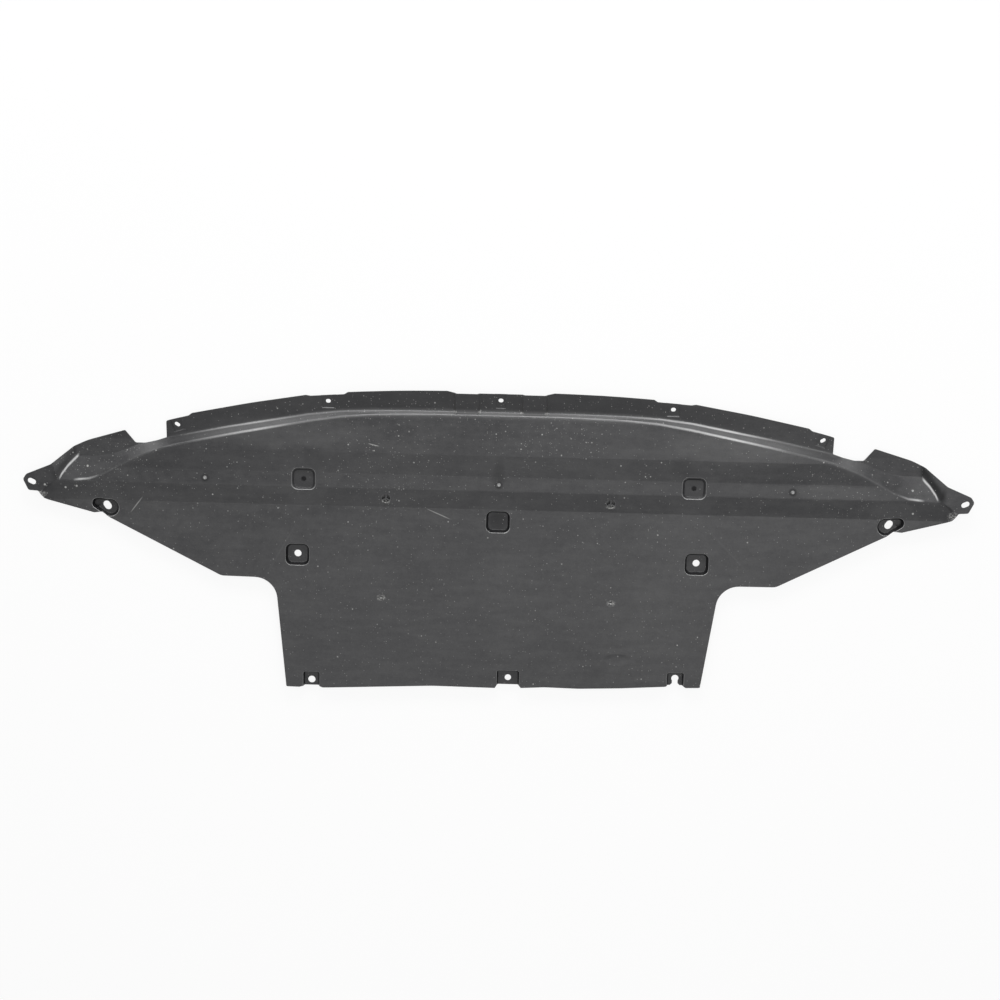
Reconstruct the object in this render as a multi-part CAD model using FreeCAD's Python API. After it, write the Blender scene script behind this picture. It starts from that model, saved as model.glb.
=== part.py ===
import FreeCAD, Part
import math
import os
from FreeCAD import Vector

# Moulded splash shield for the underside of a front bumper, lying road side up.
# X runs across the car, Y towards its front, Z up; all sizes are in mm.
# The origin is the bottom centre of the box around the sheet.

# Sheet and levels, each the height of the road side above the floor
SHEET = 2.5
REAR_TOP = 15.5
SWAGE_STEP = 4.0
STRIP_TOP = REAR_TOP + SWAGE_STEP
FRONT_TOP = STRIP_TOP + SWAGE_STEP
LUG_TOP = STRIP_TOP

# Creases of the panel, as Y positions from the rear field to the front field
CREASE_Y = (62.5, 97.5, 121.0, 160.0)
CREASE_ROUND = (12.0, 30.0, 30.0, 8.0)

# Front flange and ear flaps: planes that rise towards the front
FLANGE_RISE = 0.10
FLANGE_LEVEL = 15.5
FLANGE_LEVEL_Y = 241.5
FLAP_RISE = 0.09
FLAP_LEVEL = 7.0
FLAP_LEVEL_Y = 139.0
FLANGE_SPLIT_X = 596.0

# Rim between panel and flange: X and Y of its upper edge, then of its foot
RIM = (
    (0.0, 229.2, 0.0, 234.2),
    (136.0, 228.8, 136.0, 234.0),
    (217.0, 226.0, 218.5, 232.6),
    (272.0, 221.5, 274.5, 229.8),
    (326.0, 213.0, 329.5, 223.4),
    (394.5, 199.6, 398.5, 211.4),
    (463.0, 186.0, 467.0, 198.0),
    (529.5, 171.8, 534.0, 183.8),
    (568.0, 162.4, 573.5, 175.6),
    (598.0, 151.8, 606.0, 168.4),
    (626.0, 140.5, 636.0, 157.5),
    (657.0, 124.4, 664.0, 146.0),
    (683.0, 109.6, 689.0, 139.6),
    (708.0, 100.8, 711.0, 138.4),
    (735.5, 98.2, 736.0, 139.0),
    (780.0, 97.5, 780.0, 140.0),
    (912.0, 97.5, 912.0, 140.0),
)
RIM_EXTEND = 0.6
RIM_ROUND = 5.0
FOOT_ROUND = 2.5

# Wall up from each ear to its end lug, then the soft step of the lug in the panel:
# X and Y of the upper edge, X and Y of the foot, drop of the foot under the lug
LUG_WALL = (
    (796.0, 160.0, 746.5, 171.0, 9.6),
    (787.0, 145.0, 740.0, 156.5, 11.0),
    (779.5, 134.5, 735.5, 147.4, 11.7),
    (774.0, 129.0, 732.2, 140.0, 12.4),
    (771.5, 125.5, 733.0, 134.5, 11.1),
    (770.0, 122.0, 738.0, 129.5, 9.6),
    (768.6, 117.5, 745.3, 122.0, 7.3),
    (766.9, 111.5, 750.3, 115.0, 5.2),
    (765.0, 106.5, 755.4, 108.0, 3.0),
    (764.2, 102.0, 759.0, 101.0, 2.4),
    (766.5, 98.0, 761.5, 94.5, 2.6),
    (771.5, 94.3, 767.0, 89.0, 2.4),
    (779.5, 88.9, 774.0, 83.0, 2.8),
    (786.2, 83.0, 779.5, 78.5, 3.6),
    (790.0, 76.0, 782.0, 73.5, 4.3),
    (792.5, 66.0, 784.0, 65.0, 4.9),
    (794.0, 52.0, 785.5, 51.5, 5.2),
)
WALL_EXTEND = 0.4
LUG_BOX = (720.0, 52.0, 180.0)

# Bevel in the groove where the rim's slope meets that wall: first and last row it follows
GROOVE_ROWS = (4, 10)
GROOVE_HALF_WIDTH = 2.4
GROOVE_EXTEND = 0.15

# Raised bridges across the flange, beside its middle bolt
BRIDGE_X = 58.0
BRIDGE_WIDTH = 37.0
BRIDGE_HEIGHT = 7.0
BRIDGE_SIDE_RUN = 4.0

# Bolt holes of the flange, each in a shallow pad open to the flange edge:
# X and Y of the hole, width of the pad, its reach behind the hole, its turn
FLANGE_PADS = (
    (0.0, 255.0, 16.5, 14.5, 0.0),
    (295.5, 246.7, 21.0, 12.5, 0.0),
    (555.5, 198.6, 17.0, 12.0, -20.0),
)
PAD_DEPTH = 1.4
PAD_WALL_RUN = 1.8
FLANGE_SLOT_LENGTH = 8.5
FLANGE_SLOT_WIDTH = 6.8
END_SLOT_LENGTH = 10.0
END_SLOT_WIDTH = 6.4
END_SLOT_TURN = 32.0

# Bolt pockets sunk into the panel
POCKET_X = 41.5
POCKET_Y = 38.5
POCKET_CORNER = 11.0
POCKET_DEPTH = 9.0
POCKET_WALL_RUN = 3.6
POCKET_RIM_ROUND = 1.2
POCKET_FLOOR_ROUND = 1.5
LOWER_POCKET = (348.8, -26.2)
LOWER_HOLE_D = 12.5
CENTRE_POCKET = (0.0, 41.0)
UPPER_POCKET = (337.5, 109.5)
UPPER_POCKET_DEPTH = 5.0
UPPER_WALL_RUN = 4.4
DIMPLE_D = 8.0
DIMPLE_DEPTH = 3.0

# Bolt pockets at the rear edge of each ear: X, Y and radius of both ends
WING_OUTER = (695.5, 56.5, 9.5)
WING_INNER = (674.0, 49.5, 15.5)
WING_HOLE = (680.3, 51.8)
WING_SLOT_LENGTH = 16.5
WING_SLOT_WIDTH = 12.5
WING_SLOT_TURN = 55.0
WING_WELL = (697.0, 55.8)
WING_WELL_R = 6.0
WING_WELL_DEPTH = 4.0

# Rear tabs: middle X, width, Y of the step, Y of the end, Y of the hole, hole diameter
REAR_TABS = (
    (-324.2, 29.0, -240.5, -267.5, -257.4, 13.0),
    (24.6, 39.8, -229.4, -257.2, -244.7, 11.5),
    (321.6, 30.0, -225.8, -251.0, -238.6, 13.0),
)
OPEN_TAB = 2
TAB_DEPTH = 8.0
TAB_WALL_RUN = 2.2
TAB_CORNER = 4.0
TAB_REACH = 3.0
TAB_NECK_WIDTH = 10.2
TAB_MOUTH_WIDTH = 17.0
TAB_MOUTH_DEPTH = 3.5

# Slots of the end lugs
LUG_SLOT = (807.3, 93.8)
LUG_SLOT_LENGTH = 14.8
LUG_SLOT_WIDTH = 9.4
LUG_SLOT_TURN = 24.0

# Blind drain bosses with three petals, and moulding stubs
DRAIN = (194.7, 79.3)
DRAIN_RING_D = 17.5
DRAIN_PETAL_D = 14.0
DRAIN_RISE = 0.8
DRAIN_WEB = 2.4
DRAIN_DEPTH = 5.0
FRONT_STUBS = (0.0, 507.7)
FRONT_STUB_Y = 108.0
REAR_STUB = (201.6, -101.0)
STUB_D = 5.0
STUB_TIP_D = 3.6
FRONT_STUB_RISE = 3.5
REAR_STUB_RISE = 1.2

# Edge of the sheet as corners with their radii: the right half of the front and
# the ear, then the wheel arch of each side, then the rear edge beside its tabs
FRONT_EDGE = (
    (78.0, 266.4, 6.0),
    (92.0, 269.7, 6.0),
    (180.0, 268.2, 2500.0),
    (262.0, 263.2, 5.0),
    (268.0, 259.2, 5.0),
    (326.0, 255.0, 5.0),
    (334.0, 256.3, 5.0),
    (430.0, 239.9, 1500.0),
    (530.0, 219.2, 4.0),
    (536.0, 214.6, 4.0),
    (574.3, 204.5, 3.0),
    (574.5, 175.0, 2.0),
    (591.0, 169.6, 15.0),
    (612.0, 164.5, 25.0),
    (628.5, 164.3, 6.0),
    (646.0, 186.3, 3.0),
    (712.0, 166.5, 120.0),
    (736.0, 155.0, 25.0),
    (774.5, 124.0, 20.0),
    (816.5, 106.5, 6.5),
    (822.6, 97.5, 6.0),
    (813.5, 78.2, 4.5),
    (797.0, 77.2, 4.0),
    (787.0, 63.2, 5.0),
    (779.0, 60.5, 12.0),
    (702.0, 40.2, 7.0),
    (688.5, 41.6, 3.5),
    (676.0, 32.6, 8.0),
)
LEFT_ARCH = (
    (-482.0, -67.8, 22.0),
    (-387.7, -69.5, 40.0),
    (-368.6, -269.0, 2.5),
)
RIGHT_ARCH = (
    (489.0, -63.9, 22.0),
    (390.9, -64.5, 40.0),
    (365.6, -252.8, 2.5),
)
REAR_EDGE = (
    ((-345.5, -269.4, 0.0),),
    ((-304.0, -269.7, 0.0), (-290.0, -269.3, 40.0), (-110.0, -261.2, 300.0), (1.5, -262.4, 0.0)),
    ((48.0, -261.3, 0.0), (90.0, -258.8, 100.0), (150.0, -260.0, 150.0),
     (225.0, -257.2, 300.0), (304.0, -252.2, 0.0)),
    ((340.5, -253.6, 0.0),),
)

# Helper extents, all well outside the sheet
HALF_SPAN = 900.0
FAR_Y = 340.0
BASE = -60.0
TALL = 120.0
CLEAR = 3.0
PICK_REACH = 7.0
LUG_REACH = 200.0


def mirrored(places):
    """Places of both halves; one on the middle line stays single."""
    both = []
    for x, y in places:
        both.append((x, y))
        if x > 0.0:
            both.append((-x, y))
    return both


def corner_cut(before, corner, after, radius):
    """Start, middle and end of the arc that rounds one corner."""
    to_before = (before - corner).normalize()
    to_after = (after - corner).normalize()
    half = 0.5 * to_before.getAngle(to_after)
    trim = radius / math.tan(half)
    inward = (to_before + to_after).normalize()
    middle = corner + inward * (radius / math.sin(half) - radius)
    return corner + to_before * trim, middle, corner + to_after * trim


def rounded_line(corners, radii):
    """Edges of an open line whose inner corners are rounded."""
    edges = []
    here = corners[0]
    for index in range(1, len(corners) - 1):
        start, middle, end = corner_cut(
            corners[index - 1], corners[index], corners[index + 1], radii[index - 1])
        edges.append(Part.makeLine(here, start))
        edges.append(Part.Arc(start, middle, end).toShape())
        here = end
    edges.append(Part.makeLine(here, corners[-1]))
    return edges


def rounded_loop(corners):
    """Closed wire through (x, y, radius) corners; a radius of nought stays sharp."""
    points = [Vector(x, y, 0.0) for x, y, _ in corners]
    pieces = []
    for index, (_, _, radius) in enumerate(corners):
        before = points[index - 1]
        after = points[(index + 1) % len(points)]
        if radius > 0.0:
            pieces.append(corner_cut(before, points[index], after, radius))
        else:
            pieces.append((points[index], None, points[index]))
    edges = []
    for index, (start, middle, end) in enumerate(pieces):
        if middle is not None:
            edges.append(Part.Arc(start, middle, end).toShape())
        following = pieces[(index + 1) % len(pieces)][0]
        if (following - end).Length > 1e-6:
            edges.append(Part.makeLine(end, following))
    return Part.Wire(edges)


def hull_loop(first, first_r, second, second_r):
    """Closed wire round two circles and the straight lines that touch both."""
    line = second - first
    turn = math.acos((first_r - second_r) / line.Length)
    base = math.atan2(line.y, line.x)

    def on(centre, radius, angle):
        return centre + Vector(math.cos(angle), math.sin(angle), 0.0) * radius

    left, right = base + turn, base - turn
    first_arc = Part.Arc(
        on(first, first_r, left), on(first, first_r, base + math.pi), on(first, first_r, right))
    second_arc = Part.Arc(
        on(second, second_r, right), on(second, second_r, base), on(second, second_r, left))
    return Part.Wire([
        first_arc.toShape(),
        Part.makeLine(on(first, first_r, right), on(second, second_r, right)),
        second_arc.toShape(),
        Part.makeLine(on(second, second_r, left), on(first, first_r, left)),
    ])


def prism(wire, low, high):
    """Upright solid over a flat closed wire."""
    face = Part.Face(wire)
    face.translate(Vector(0.0, 0.0, low))
    return face.extrude(Vector(0.0, 0.0, high - low))


def under_profile(edges, grow):
    """Solid under a profile in the YZ plane, drawn right across the car."""
    first = edges[0].Vertexes[0].Point
    last = edges[-1].Vertexes[-1].Point
    floor = BASE - grow
    low_last = Vector(0.0, last.y, floor)
    low_first = Vector(0.0, first.y, floor)
    closing = [
        Part.makeLine(last, low_last),
        Part.makeLine(low_last, low_first),
        Part.makeLine(low_first, first),
    ]
    face = Part.Face(Part.Wire(edges + closing))
    half = HALF_SPAN + grow
    face.translate(Vector(-half, 0.0, 0.0))
    return face.extrude(Vector(2.0 * half, 0.0, 0.0))


def panel_height(y):
    """Height of the road side of the panel at a distance along the car."""
    levels = (REAR_TOP, STRIP_TOP, STRIP_TOP, FRONT_TOP)
    if y <= CREASE_Y[0]:
        return REAR_TOP
    for index in range(3):
        low, high = CREASE_Y[index], CREASE_Y[index + 1]
        if y <= high:
            share = (y - low) / (high - low)
            return levels[index] + share * (levels[index + 1] - levels[index])
    return FRONT_TOP


def flange_height(x, y):
    """Height of the flange or of the ear flap over one point."""
    if abs(x) < FLANGE_SPLIT_X:
        return FLANGE_LEVEL + FLANGE_RISE * (y - FLANGE_LEVEL_Y)
    return FLAP_LEVEL + FLAP_RISE * (y - FLAP_LEVEL_Y)


def lowered(points, depth):
    """Points of a line in a YZ plane, moved square down from it by a depth."""
    moved = []
    for index, point in enumerate(points):
        before = points[max(index - 1, 0)]
        after = points[min(index + 1, len(points) - 1)]
        into = (point - before) if index else (after - point)
        out = (after - point) if index < len(points) - 1 else (point - before)
        into.normalize()
        out.normalize()
        along = (into + out).normalize()
        square = depth / math.cos(0.5 * into.getAngle(out))
        moved.append(point + Vector(0.0, along.z, -along.y) * square)
    return moved


def under_panel(depth):
    """Solid under the panel, with its road side lowered square to itself."""
    corners = [Vector(0.0, -FAR_Y - depth, REAR_TOP)]
    corners += [Vector(0.0, y, panel_height(y)) for y in CREASE_Y]
    corners.append(Vector(0.0, FAR_Y + depth, FRONT_TOP))
    return under_profile(rounded_line(lowered(corners, depth), CREASE_ROUND), depth)


def under_flange(depth, x_low, x_high, rise, level, level_y):
    """Solid under one plane that rises towards the front."""
    drop = depth * math.sqrt(1.0 + rise * rise)
    start = level - rise * (level_y + FAR_Y) - drop
    end = level + rise * (FAR_Y - level_y) - drop
    floor = BASE - depth
    corners = [
        Vector(x_low, -FAR_Y, floor),
        Vector(x_low, FAR_Y, floor),
        Vector(x_low, FAR_Y, end),
        Vector(x_low, -FAR_Y, max(start, floor + 1.0)),
    ]
    face = Part.Face(Part.makePolygon(corners + corners[:1]))
    return face.extrude(Vector(x_high - x_low, 0.0, 0.0))


def smooth_edge(points, knots):
    """Smooth curve through points at given knots."""
    curve = Part.BSplineCurve()
    curve.interpolate(Points=points, Parameters=knots)
    return curve.toShape()


def spaced_knots(points):
    """Knots spaced by the distance along a row of points."""
    knots = [0.0]
    for before, after in zip(points, points[1:]):
        knots.append(knots[-1] + before.distanceToPoint(after))
    return knots


def ruled_face(uppers, lowers, depth, extend):
    """Face across pairs of points, lowered square to itself and drawn longer."""
    high, low = [], []
    for upper, lower in zip(uppers, lowers):
        line = lower - upper
        run = math.hypot(line.x, line.y)
        drop = Vector(0.0, 0.0, depth * line.Length / run)
        high.append(upper - line * extend - drop)
        low.append(lower + line * extend - drop)
    knots = spaced_knots(uppers)
    return Part.makeRuledSurface(smooth_edge(high, knots), smooth_edge(low, knots))


def beyond(uppers, lowers, share, reach):
    """Tall solid from a line past the lower points outwards."""
    inner = [lower + (lower - upper) * share for upper, lower in zip(uppers, lowers)]
    inner = [Vector(p.x, p.y, BASE) for p in inner]
    outer = [p + reach for p in inner]
    knots = spaced_knots(inner)
    face = Part.makeRuledSurface(smooth_edge(inner, knots), smooth_edge(outer, knots))
    return face.extrude(Vector(0.0, 0.0, TALL))


def rim_points():
    """Upper and lower points of the rim, across the whole width."""
    uppers, lowers = [], []
    for x, y, foot_x, foot_y in mirrored_rim():
        uppers.append(Vector(x, y, panel_height(y)))
        lowers.append(Vector(foot_x, foot_y, flange_height(foot_x, foot_y)))
    return uppers, lowers


def mirrored_rim():
    """Rim rows of both halves, from left to right."""
    left = [(-x, y, -foot_x, foot_y) for x, y, foot_x, foot_y in reversed(RIM[1:])]
    return left + list(RIM)


def under_lug(side, depth):
    """Solid under the level of one end lug and under the wall on its inner side."""
    uppers = [Vector(side * x, y, LUG_TOP) for x, y, _, _, _ in LUG_WALL]
    lowers = [Vector(side * x, y, LUG_TOP - drop) for _, _, x, y, drop in LUG_WALL]
    inner, low_y, high_y = LUG_BOX
    length = HALF_SPAN - inner
    start = inner if side > 0.0 else -HALF_SPAN
    corner = Vector(start, low_y, BASE - depth)
    box = Part.makeBox(length, high_y - low_y, LUG_TOP - BASE, corner)
    above = ruled_face(uppers, lowers, depth, WALL_EXTEND).extrude(Vector(0.0, 0.0, TALL))
    inward = beyond(uppers, lowers, 0.5 * WALL_EXTEND, Vector(-side * LUG_REACH, 0.0, 0.0))
    return box.cut([above, inward])


def ear_slope_height(y):
    """Height of the rim's slope over the ear, which doesn't change across the ear."""
    _, crest_y, _, foot_y = RIM[-2]
    foot = FLAP_LEVEL + FLAP_RISE * (foot_y - FLAP_LEVEL_Y)
    share = (y - crest_y) / (foot_y - crest_y)
    return STRIP_TOP + share * (foot - STRIP_TOP)


def ear_groove(side, depth):
    """Fill of the groove between the ear's slope and the wall up to its lug."""
    first, last = GROOVE_ROWS
    outer, inner = [], []
    for x, y, foot_x, foot_y, drop in LUG_WALL[first:last]:
        foot = Vector(side * foot_x, foot_y, LUG_TOP - drop)
        line = Vector(side * x, y, LUG_TOP) - foot
        line = line * (GROOVE_HALF_WIDTH / math.hypot(line.x, line.y))
        outer.append(foot + line)
        low_y = foot_y - line.y
        inner.append(Vector(foot.x - line.x, low_y, ear_slope_height(low_y)))
    face = ruled_face(outer, inner, depth, GROOVE_EXTEND)
    return face.extrude(Vector(0.0, 0.0, -0.5 * TALL))


def along_line(edge, points):
    """Whether an edge runs along a row of points, seen from above."""
    line = Part.makePolygon([Vector(p.x, p.y, 0.0) for p in points])
    ends = [vertex.Point for vertex in edge.Vertexes]
    middle = edge.valueAt(0.5 * (edge.FirstParameter + edge.LastParameter))
    if len(ends) < 2 or abs(ends[0].x - ends[1].x) < PICK_REACH:
        return False
    flat = [Vector(p.x, p.y, 0.0) for p in ends + [middle]]
    return all(Part.Vertex(p).distToShape(line)[0] < PICK_REACH for p in flat)


def round_rim(body, depth):
    """Buck with the crest of the rim and its foot rounded."""
    crest, foot = rim_points()
    span = max(p.x for p in crest)
    for line, radius in ((crest, RIM_ROUND - depth), (foot, FOOT_ROUND + depth)):
        low = min(p.z for p in line) - depth - PICK_REACH
        high = max(p.z for p in line) - depth + 1.0
        edges = [
            edge for edge in body.Edges
            if low < edge.CenterOfMass.z < high
            and abs(edge.CenterOfMass.x) < span
            and along_line(edge, line)
        ]
        if radius > 0.0:
            body = body.makeFillet(radius, edges)
    return body


def tapered(loop, top, floor, run, depth):
    """Solid between two loops; loop(spread) gives the loop widened by a spread."""
    lean = run / (top - floor)
    wide = depth * math.hypot(1.0, lean)
    low = floor - depth
    high = FRONT_TOP + CLEAR
    wires = []
    for level in (low, high):
        wire = loop(wide - lean * (top - level))
        wire.translate(Vector(0.0, 0.0, level))
        wires.append(wire)
    tool = Part.makeLoft(wires, True, True)
    if tool.Volume < 0.0:
        tool.reverse()
    bottom = [e for e in tool.Edges if abs(e.BoundBox.ZMax - low) < 1e-4]
    return tool.makeFillet(POCKET_FLOOR_ROUND + depth, bottom)


def box_loop(x, y, size_x, size_y, corner):
    """Function that gives a rounded rectangle widened by a spread."""
    def loop(spread):
        half_x = 0.5 * size_x + spread
        half_y = 0.5 * size_y + spread
        radius = corner + spread
        signs = ((-1.0, -1.0), (1.0, -1.0), (1.0, 1.0), (-1.0, 1.0))
        return rounded_loop([(x + i * half_x, y + j * half_y, radius) for i, j in signs])
    return loop


def wing_loop(side):
    """Function that gives the loop round both ends of an ear pocket."""
    def loop(spread):
        outer_x, outer_y, outer_r = WING_OUTER
        inner_x, inner_y, inner_r = WING_INNER
        outer = Vector(side * outer_x, outer_y, 0.0)
        inner = Vector(side * inner_x, inner_y, 0.0)
        return hull_loop(outer, outer_r + spread, inner, inner_r + spread)
    return loop


def tab_loop(tab):
    """Function that gives the loop of one rear tab, drawn on past the edge."""
    middle, width, step, end, _, _ = tab
    length = TAB_REACH * (step - end)
    return box_loop(middle, step - 0.5 * length, width, length, TAB_CORNER)


def pocket_loops():
    """Loop of every pocket whose rim is rounded."""
    places = mirrored((LOWER_POCKET, CENTRE_POCKET, UPPER_POCKET))
    loops = [box_loop(x, y, POCKET_X, POCKET_Y, POCKET_CORNER) for x, y in places]
    return loops + [wing_loop(-1.0), wing_loop(1.0)] + [tab_loop(tab) for tab in REAR_TABS]


def pad(x, y, width, behind, turn, depth):
    """Shallow sunk pad of the flange, with a sloped rear wall, open to the flange's edge."""
    lean = PAD_WALL_RUN / PAD_DEPTH
    wide = depth * math.hypot(1.0, lean)
    half = 0.5 * width + depth
    top = flange_height(x, y - behind)
    low = top - PAD_DEPTH - depth - CLEAR
    high = top + TALL
    back = [(lean * (top - level) - behind - wide, level) for level in (low, high)]
    line = back + [(FAR_Y, high), (FAR_Y, low)]
    points = [Vector(-half, s, z) for s, z in line]
    face = Part.Face(Part.makePolygon(points + points[:1]))
    column = face.extrude(Vector(2.0 * half, 0.0, 0.0))
    column.rotate(Vector(0.0, 0.0, 0.0), Vector(0.0, 0.0, 1.0), turn)
    column.translate(Vector(x, y, 0.0))
    below = under_flange(
        depth + PAD_DEPTH, -HALF_SPAN, HALF_SPAN, FLANGE_RISE, FLANGE_LEVEL, FLANGE_LEVEL_Y)
    return column.cut(below)


def cylinder(x, y, diameter, low, high):
    """Upright cylinder between two levels."""
    return Part.makeCylinder(0.5 * diameter, high - low, Vector(x, y, low))


def sunk_tools(depth):
    """Solids that the pockets, wells, tabs and pads take out of a buck."""
    tools = []
    high = FRONT_TOP + CLEAR
    for x, y in mirrored((LOWER_POCKET, CENTRE_POCKET)):
        loop = box_loop(x, y, POCKET_X, POCKET_Y, POCKET_CORNER)
        tools.append(tapered(loop, REAR_TOP, REAR_TOP - POCKET_DEPTH, POCKET_WALL_RUN, depth))
    for x, y in mirrored((UPPER_POCKET,)):
        loop = box_loop(x, y, POCKET_X, POCKET_Y, POCKET_CORNER)
        floor = STRIP_TOP - UPPER_POCKET_DEPTH
        tools.append(tapered(loop, STRIP_TOP, floor, UPPER_WALL_RUN, depth))
        bottom = floor - DIMPLE_DEPTH - depth
        tools.append(cylinder(x, y, DIMPLE_D + 2.0 * depth, bottom, high))
    floor = REAR_TOP - POCKET_DEPTH
    for side in (-1.0, 1.0):
        tools.append(tapered(wing_loop(side), REAR_TOP, floor, POCKET_WALL_RUN, depth))
        bottom = floor - WING_WELL_DEPTH - depth
        well_d = 2.0 * (WING_WELL_R + depth)
        tools.append(cylinder(side * WING_WELL[0], WING_WELL[1], well_d, bottom, REAR_TOP))
    for tab in REAR_TABS:
        floor = REAR_TOP - TAB_DEPTH
        tools.append(tapered(tab_loop(tab), REAR_TOP, floor, TAB_WALL_RUN, depth))
    for x, y, width, behind, turn in FLANGE_PADS:
        tools.append(pad(x, y, width, behind, turn, depth))
        if x > 0.0:
            tools.append(pad(-x, y, width, behind, -turn, depth))
    return tools


def on_rim(edge, wire):
    """Whether an edge lies on the panel's surface along the rim of a pocket."""
    middle = edge.valueAt(0.5 * (edge.FirstParameter + edge.LastParameter))
    box = wire.BoundBox
    box.enlarge(CLEAR)
    for point in [vertex.Point for vertex in edge.Vertexes] + [middle]:
        flat = Vector(point.x, point.y, 0.0)
        if point.z < panel_height(point.y) - 0.1 or not box.isInside(flat):
            return False
        if Part.Vertex(flat).distToShape(wire)[0] > 1.0:
            return False
    return True


def round_pockets(body, depth):
    """Buck with the rims of its pockets rounded."""
    radius = POCKET_RIM_ROUND - depth
    if radius > 0.0:
        for loop in pocket_loops():
            wire = loop(0.0)
            body = body.makeFillet(radius, [e for e in body.Edges if on_rim(e, wire)])
    return body


def bridge(x, depth):
    """Raised bridge across the flange, rising with it towards the front."""
    half = 0.5 * BRIDGE_WIDTH
    slope = BRIDGE_SIDE_RUN / BRIDGE_HEIGHT
    low = FLANGE_LEVEL - BRIDGE_HEIGHT
    high = FLANGE_LEVEL + BRIDGE_HEIGHT
    foot = half + slope * (high - low)
    line = [(-foot, low), (-half, high), (half, high), (foot, low)]
    corners = lowered([Vector(0.0, s, z) for s, z in line], depth)
    points = [Vector(x + p.y, CREASE_Y[-1], p.z) for p in corners]
    ends = [Vector(points[-1].x, CREASE_Y[-1], BASE), Vector(points[0].x, CREASE_Y[-1], BASE)]
    face = Part.Face(Part.makePolygon(points + ends + points[:1]))
    rise = FLANGE_RISE * (CREASE_Y[-1] - FLANGE_LEVEL_Y)
    face.translate(Vector(0.0, 0.0, rise))
    length = FAR_Y - CREASE_Y[-1]
    return face.extrude(Vector(0.0, length, FLANGE_RISE * length))


def buck(depth):
    """Solid under the road side of the sheet, lowered by a depth."""
    uppers, lowers = rim_points()
    above_rim = ruled_face(uppers, lowers, depth, RIM_EXTEND).extrude(Vector(0.0, 0.0, TALL))
    ahead = beyond(uppers, lowers, 0.5 * RIM_EXTEND, Vector(0.0, 2.0 * FAR_Y, 0.0))
    body = under_panel(depth).cut([above_rim, ahead])
    split = FLANGE_SPLIT_X
    flange = under_flange(depth, -split, split, FLANGE_RISE, FLANGE_LEVEL, FLANGE_LEVEL_Y)
    right = under_flange(depth, split, HALF_SPAN, FLAP_RISE, FLAP_LEVEL, FLAP_LEVEL_Y)
    left = under_flange(depth, -HALF_SPAN, -split, FLAP_RISE, FLAP_LEVEL, FLAP_LEVEL_Y)
    body = body.fuse([flange, right, left])
    body = round_rim(body.Solids[0], depth)
    for side in (-1.0, 1.0):
        body = body.fuse([under_lug(side, depth), ear_groove(side, depth)])
    body = body.fuse([bridge(side * BRIDGE_X, depth) for side in (-1.0, 1.0)])
    body = body.cut(sunk_tools(depth))
    return round_pockets(body, depth)


def outline():
    """Closed wire of the sheet's edge, seen from above."""
    corners = list(FRONT_EDGE) + list(RIGHT_ARCH)
    for index in reversed(range(len(REAR_TABS))):
        corners += reversed(REAR_EDGE[index + 1])
        middle, width, _, end, _, _ = REAR_TABS[index]
        half = 0.5 * width
        corners.append((middle + half, end, 0.0))
        corners.append((middle - half, end, 0.0))
    corners += reversed(REAR_EDGE[0])
    corners += reversed(LEFT_ARCH)
    corners += [(-x, y, radius) for x, y, radius in reversed(FRONT_EDGE)]
    return rounded_loop(corners)


def slot(x, y, length, width, turn):
    """Upright tool for a slot with round ends."""
    reach = 0.5 * (length - width)
    first = Vector(-reach, 0.0, 0.0)
    second = Vector(reach, 0.0, 0.0)
    loop = hull_loop(first, 0.5 * width, second, 0.5 * width)
    tool = prism(loop, BASE, TALL)
    tool.rotate(Vector(0.0, 0.0, 0.0), Vector(0.0, 0.0, 1.0), turn)
    tool.translate(Vector(x, y, 0.0))
    return tool


def tab_mouth():
    """Tool for the neck between the hole of the open tab and its edge, with a flared mouth."""
    middle, _, _, end, hole_y, _ = REAR_TABS[OPEN_TAB]
    neck = 0.5 * TAB_NECK_WIDTH
    mouth = 0.5 * TAB_MOUTH_WIDTH
    inner = end + TAB_MOUTH_DEPTH
    half = [(neck, hole_y), (neck, inner), (mouth, end), (mouth, end - CLEAR)]
    corners = [(middle + x, y, 0.0) for x, y in half]
    corners += [(middle - x, y, 0.0) for x, y in reversed(half)]
    return prism(rounded_loop(corners), BASE, TALL)


def bolt_holes():
    """Tools for every bolt hole and slot."""
    tools = [cylinder(x, y, LOWER_HOLE_D, BASE, TALL) for x, y in mirrored((LOWER_POCKET,))]
    middles = [(x, y) for x, y, _, _, _ in FLANGE_PADS[:2]]
    tools += [
        slot(x, y, FLANGE_SLOT_LENGTH, FLANGE_SLOT_WIDTH, 0.0) for x, y in mirrored(middles)]
    end_x, end_y = FLANGE_PADS[2][:2]
    for side in (-1.0, 1.0):
        tools.append(slot(
            side * end_x, end_y, END_SLOT_LENGTH, END_SLOT_WIDTH, side * END_SLOT_TURN))
        tools.append(slot(
            side * LUG_SLOT[0], LUG_SLOT[1], LUG_SLOT_LENGTH, LUG_SLOT_WIDTH,
            side * LUG_SLOT_TURN))
        tools.append(slot(
            side * WING_HOLE[0], WING_HOLE[1], WING_SLOT_LENGTH, WING_SLOT_WIDTH,
            side * WING_SLOT_TURN))
    for middle, _, _, _, hole_y, hole_d in REAR_TABS:
        tools.append(cylinder(middle, hole_y, hole_d, BASE, TALL))
    tools.append(tab_mouth())
    return tools


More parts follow.
